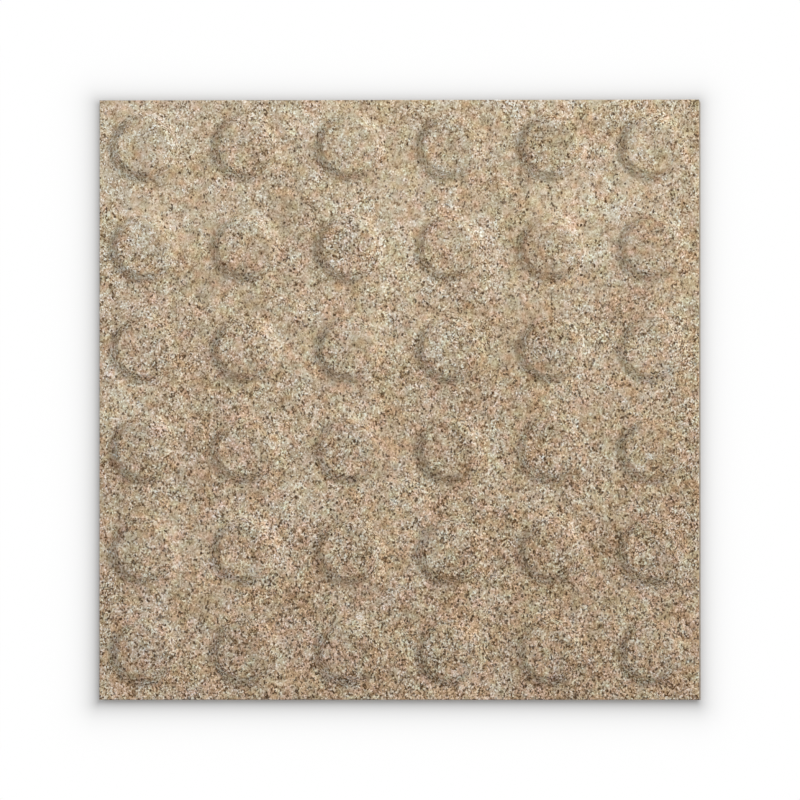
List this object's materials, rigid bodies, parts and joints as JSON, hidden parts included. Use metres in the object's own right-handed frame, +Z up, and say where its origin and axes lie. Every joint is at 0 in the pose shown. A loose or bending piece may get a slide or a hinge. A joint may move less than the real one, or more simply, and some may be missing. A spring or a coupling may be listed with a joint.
{
  "type": "tactile paving slab",
  "caption": "Square granite paving slab with a square grid of flat-topped domes milled on its top, for warning underfoot at kerbs and edges.",
  "frame": {"origin": "middle of the underside, on the surface that the slab lies on", "axes": "+Z up through the domes, +X to the right and +Y to the top of the picture, along the slab's sides"},
  "size_m": [0.3, 0.3, 0.045],
  "materials": {
    "granite": "rough dressed top, sawn sides and underside"
  },
  "bodies": {
    "root": {"tactile_slab": "granite"}
  },
  "joints": []
}
